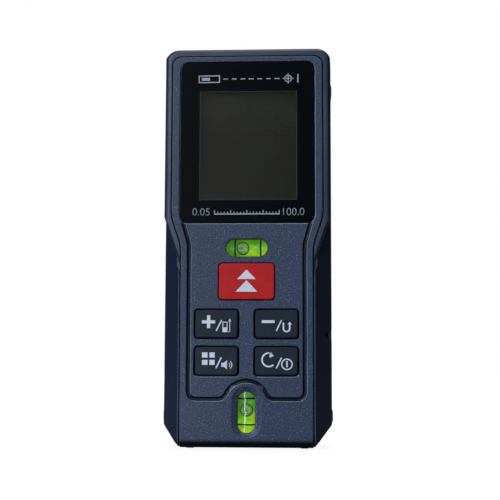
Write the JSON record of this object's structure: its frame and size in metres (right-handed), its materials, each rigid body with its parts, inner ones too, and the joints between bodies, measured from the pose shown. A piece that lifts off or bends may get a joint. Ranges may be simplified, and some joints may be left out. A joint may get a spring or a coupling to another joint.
{
  "type": "laser distance meter",
  "caption": "Handheld laser distance meter with a display, a measure key, small keys, spirit vials, laser optics at the end and a hinged battery cover.",
  "frame": {"origin": "under the middle of the body, on the plane of the feet at its tail", "axes": "+Z along the laser beam, +X to the user's right when facing the keys, +Y from the keypad side to the battery side"},
  "size_m": [0.0506, 0.0266, 0.1189],
  "materials": {
    "face_plastic": "slate blue ABS with a fine metallic speckle, satin",
    "shell_plastic": "dark slate ABS, smooth satin",
    "seal_foam": "black foam strip",
    "screw_steel": "zinc plated",
    "window_glass": "black-printed cover glass, polished",
    "adhesive": "black adhesive film",
    "lcd": "olive grey display cell, off",
    "white_plastic": "white diffuser",
    "flex": "amber polyimide",
    "red_rubber": "red silicone, satin",
    "key_rubber": "charcoal silicone, satin",
    "mat_rubber": "charcoal silicone",
    "contact_metal": "nickel plated",
    "vial_acrylic": "clear acrylic, green-yellow fluid behind",
    "bubble": "air bubble",
    "circuit_board": "green solder mask",
    "chip_plastic": "black moulding compound",
    "capacitor": "tan ceramic",
    "optics_plastic": "black, non-reflecting",
    "barrel_brass": "turned brass",
    "diode_metal": "pale gold plated",
    "lens_glass": "coated optical glass",
    "filter_glass": "red optical filter",
    "cell_jacket": "plain printed jacket",
    "label_film": "blank silver-grey film"
  },
  "bodies": {
    "housing": {"front_housing": "face_plastic", "rear_housing": "shell_plastic", "housing_gasket": "seal_foam", "housing_screws": "screw_steel", "display_window": "window_glass", "window_adhesive": "adhesive", "lcd_glass": "lcd", "lcd_frame": "white_plastic", "lcd_ribbon": "flex", "keypad_mat": "mat_rubber", "contact_domes": "contact_metal", "horizontal_vial": "vial_acrylic", "horizontal_vial_plug": "vial_acrylic", "vertical_vial": "vial_acrylic", "vertical_vial_plug": "vial_acrylic", "main_pcb": "circuit_board", "microcontroller": "chip_plastic", "buzzer": "chip_plastic", "chip_capacitors": "capacitor", "pcb_screws": "screw_steel", "optical_frame": "optics_plastic", "laser_barrel": "barrel_brass", "laser_diode": "diode_metal", "collimator_lens": "lens_glass", "receiver_lens": "lens_glass", "optical_filter": "filter_glass", "laser_window": "lens_glass", "light_detector": "diode_metal", "sensor_pcb": "circuit_board", "sensor_screws": "screw_steel", "sensor_ribbon": "flex", "optics_bezel": "optics_plastic", "optics_screws": "screw_steel", "battery_cell_left": "cell_jacket", "battery_cell_right": "cell_jacket", "bridge_contact": "contact_metal", "terminal_contacts": "contact_metal", "battery_springs": "contact_metal", "back_label": "label_film", "lanyard_bar": "screw_steel"},
    "measure_key": {"measure_key": "red_rubber"},
    "plus_key": {"plus_key": "key_rubber"},
    "minus_key": {"minus_key": "key_rubber"},
    "mode_key": {"mode_key": "key_rubber"},
    "clear_key": {"clear_key": "key_rubber"},
    "horizontal_bubble": {"horizontal_bubble": "bubble"},
    "vertical_bubble": {"vertical_bubble": "bubble"},
    "battery_cover": {"battery_cover": "shell_plastic"}
  },
  "joints": [
    {"name": "measure_key_press", "type": "slide", "parent": "housing", "child": "measure_key", "axis": [0, 1, 0], "range_m": [0, 0.0008], "stiffness_N_per_m": 1500},
    {"name": "plus_key_press", "type": "slide", "parent": "housing", "child": "plus_key", "axis": [0, 1, 0], "range_m": [0, 0.0008], "stiffness_N_per_m": 1500},
    {"name": "minus_key_press", "type": "slide", "parent": "housing", "child": "minus_key", "axis": [0, 1, 0], "range_m": [0, 0.0008], "stiffness_N_per_m": 1500},
    {"name": "mode_key_press", "type": "slide", "parent": "housing", "child": "mode_key", "axis": [0, 1, 0], "range_m": [0, 0.0008], "stiffness_N_per_m": 1500},
    {"name": "clear_key_press", "type": "slide", "parent": "housing", "child": "clear_key", "axis": [0, 1, 0], "range_m": [0, 0.0008], "stiffness_N_per_m": 1500},
    {"name": "horizontal_bubble_drift", "type": "slide", "parent": "housing", "child": "horizontal_bubble", "axis": [1, 0, 0], "range_m": [-0.0026, 0.005], "stiffness_N_per_m": 5},
    {"name": "vertical_bubble_drift", "type": "slide", "parent": "housing", "child": "vertical_bubble", "axis": [0, 0, 1], "range_m": [-0.0045, 0.0031], "stiffness_N_per_m": 5},
    {"name": "battery_cover_hinge", "type": "hinge", "parent": "housing", "child": "battery_cover", "pos_m": [0, 0.0125, 0.008], "axis": [-1, 0, 0], "range_deg": [0, 85]}
  ]
}
